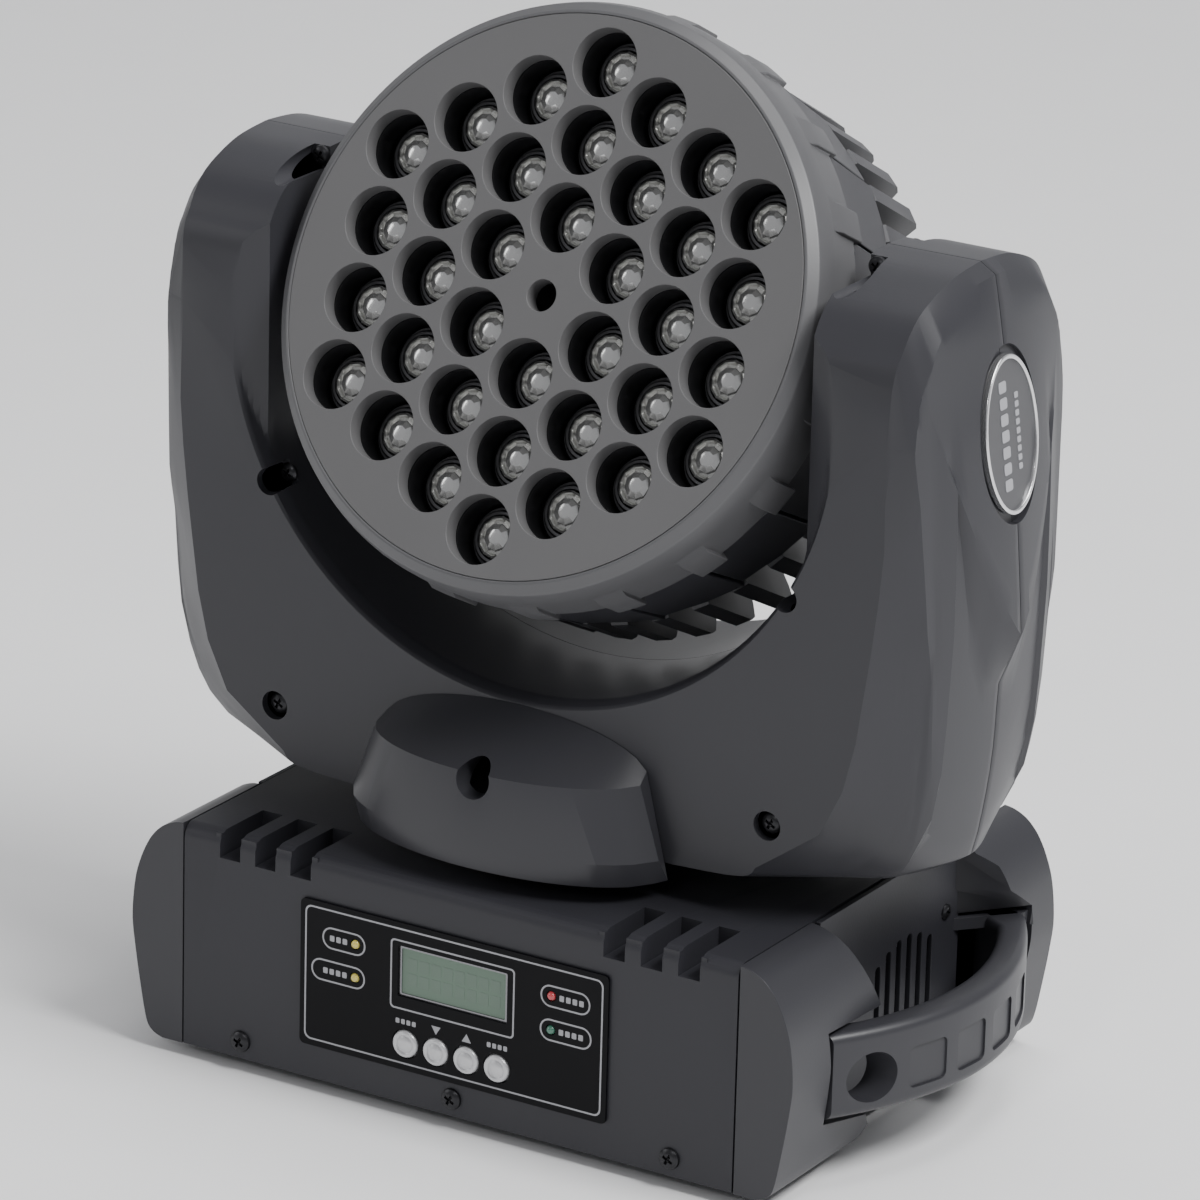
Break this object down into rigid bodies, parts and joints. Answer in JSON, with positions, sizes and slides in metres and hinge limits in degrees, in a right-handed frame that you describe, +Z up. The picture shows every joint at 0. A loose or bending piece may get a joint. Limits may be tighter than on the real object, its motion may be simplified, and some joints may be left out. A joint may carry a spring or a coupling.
{
  "type": "moving head light",
  "caption": "Compact moving head wash light: base with control panel and two carry handles, U-shaped yoke that pans, round multi-lens head that tilts.",
  "frame": {"origin": "on the floor plane under the pan axis, at the bottom centre of the whole part at rest", "axes": "+Z up along the pan axis; the control panel and the lamp face look along -Y; +X is to the right seen from the panel"},
  "size_m": [0.3252, 0.1863, 0.376],
  "materials": {
    "casing": "fine satin texture, dark charcoal",
    "sheet": "satin powder coat, dark charcoal",
    "face": "satin, warm mid grey",
    "cast": "dark coated casting",
    "black": "smooth, semi-gloss",
    "lens": "clear polished acrylic",
    "display": "grey-green liquid crystal display",
    "silver": "satin silver",
    "steel": "plain machined steel",
    "aluminium": "plain machined aluminium",
    "screw": "black oxide",
    "rubber": "matt black",
    "board": "green circuit board"
  },
  "bodies": {
    "base": {"base_cover": "sheet", "base_tray": "sheet", "base_screw_left": "screw", "base_screw_middle": "screw", "base_screw_right": "screw", "foot_front_left": "rubber", "foot_front_right": "rubber", "foot_rear_left": "rubber", "foot_rear_right": "rubber", "side_plate_left": "sheet", "side_plate_right": "sheet", "corner_front_left": "casing", "corner_front_right": "casing", "corner_rear_left": "casing", "corner_rear_right": "casing", "carry_handle_left": "casing", "carry_handle_right": "casing", "panel_label": "black", "lcd_display": "display", "control_board": "board", "power_supply": "aluminium", "power_inlet": "black", "fuse_holder": "black", "data_in": "silver", "data_out": "silver", "pan_bearing": "steel", "pan_motor": "black", "pan_belt": "rubber"},
    "yoke": {"pan_spindle": "steel", "pan_pulley": "aluminium", "yoke_front_shell": "casing", "yoke_rear_shell": "casing", "yoke_frame": "steel", "boss_cover_front": "casing", "boss_cover_rear": "casing", "badge_left": "silver", "badge_right": "silver", "yoke_screw_left": "screw", "yoke_screw_right": "screw", "tilt_bearing_left": "steel", "tilt_bearing_right": "steel", "tilt_motor": "black", "tilt_belt": "rubber"},
    "head": {"front_bezel": "casing", "face_plate": "face", "lens_array": "lens", "led_board": "board", "head_housing": "casing", "heat_sink": "cast", "rear_cover": "casing", "tilt_shaft_left": "steel", "tilt_shaft_right": "steel", "tilt_pulley": "aluminium"},
    "fan": {"fan_rotor": "black"},
    "pan_motor_pulley": {"pan_motor_pulley": "aluminium"},
    "tilt_motor_pulley": {"tilt_motor_pulley": "aluminium"},
    "button_menu": {"button_menu": "silver"},
    "button_down": {"button_down": "silver"},
    "button_up": {"button_up": "silver"},
    "button_enter": {"button_enter": "silver"}
  },
  "joints": [
    {"name": "pan", "type": "hinge", "parent": "base", "child": "yoke", "pos_m": [0, 0, 0.1], "axis": [0, 0, 1], "range_deg": [-270, 270]},
    {"name": "tilt", "type": "hinge", "parent": "yoke", "child": "head", "pos_m": [0, 0, 0.2637], "axis": [-1, 0, 0], "range_deg": [-72, 198]},
    {"name": "fan_spin", "type": "hinge", "parent": "head", "child": "fan", "pos_m": [0, 0, 0.2637], "axis": [0, 0.8918, -0.4524], "continuous": true},
    {"name": "pan_motor_spin", "type": "hinge", "parent": "base", "child": "pan_motor_pulley", "pos_m": [0.066, 0, 0.0645], "axis": [0, 0, 1], "range_deg": [-1015, 1015]},
    {"name": "tilt_motor_spin", "type": "hinge", "parent": "yoke", "child": "tilt_motor_pulley", "pos_m": [0.13, 0, 0.158], "axis": [-1, 0, 0], "range_deg": [-253, 694]},
    {"name": "button_menu_press", "type": "slide", "parent": "base", "child": "button_menu", "axis": [0, 1, 0], "range_m": [0, 0.0008], "stiffness_N_per_m": 500},
    {"name": "button_down_press", "type": "slide", "parent": "base", "child": "button_down", "axis": [0, 1, 0], "range_m": [0, 0.0008], "stiffness_N_per_m": 500},
    {"name": "button_up_press", "type": "slide", "parent": "base", "child": "button_up", "axis": [0, 1, 0], "range_m": [0, 0.0008], "stiffness_N_per_m": 500},
    {"name": "button_enter_press", "type": "slide", "parent": "base", "child": "button_enter", "axis": [0, 1, 0], "range_m": [0, 0.0008], "stiffness_N_per_m": 500}
  ],
  "couplings": [
    {"joint": "pan_motor_spin", "follows": "pan", "ratio": 3.75},
    {"joint": "tilt_motor_spin", "follows": "tilt", "ratio": 3.5}
  ]
}
